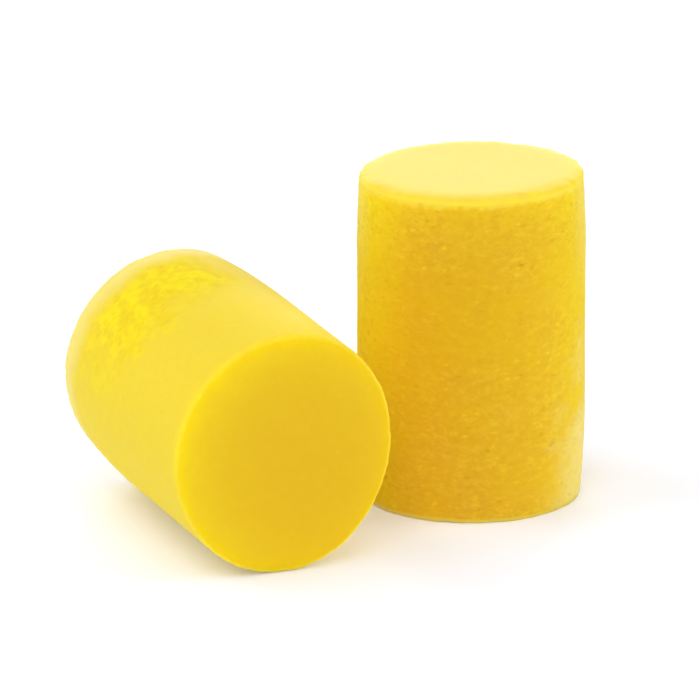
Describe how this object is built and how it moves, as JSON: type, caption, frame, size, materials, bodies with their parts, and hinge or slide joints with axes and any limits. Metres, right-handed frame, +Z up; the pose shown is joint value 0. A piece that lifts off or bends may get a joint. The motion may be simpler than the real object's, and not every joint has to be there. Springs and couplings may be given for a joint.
{
  "type": "foam ear plugs",
  "caption": "Pair of uncorded cylindrical foam ear plugs with flat ends and soft rounded rims, one standing and one lying on its side.",
  "frame": {"origin": "centre of the standing plug's flat base, on the surface that both plugs rest on", "axes": "+Z up along the standing plug's axis, +X from the lying plug to the standing one, -Y the way the lying plug's near end points, before its turn of 22.5 degrees"},
  "size_m": [0.031, 0.0248, 0.0199],
  "materials": {
    "yellow_foam": "matte slow-recovery PVC foam, fine open pores on the cut wall and a smooth skin on the ends"
  },
  "bodies": {
    "standing": {"standing_plug": "yellow_foam"},
    "lying": {"lying_plug": "yellow_foam"}
  },
  "joints": [
    {"name": "lying_plug_lift", "type": "slide", "parent": "standing", "child": "lying", "axis": [0, 0, 1], "range_m": [0, 0.025]}
  ]
}
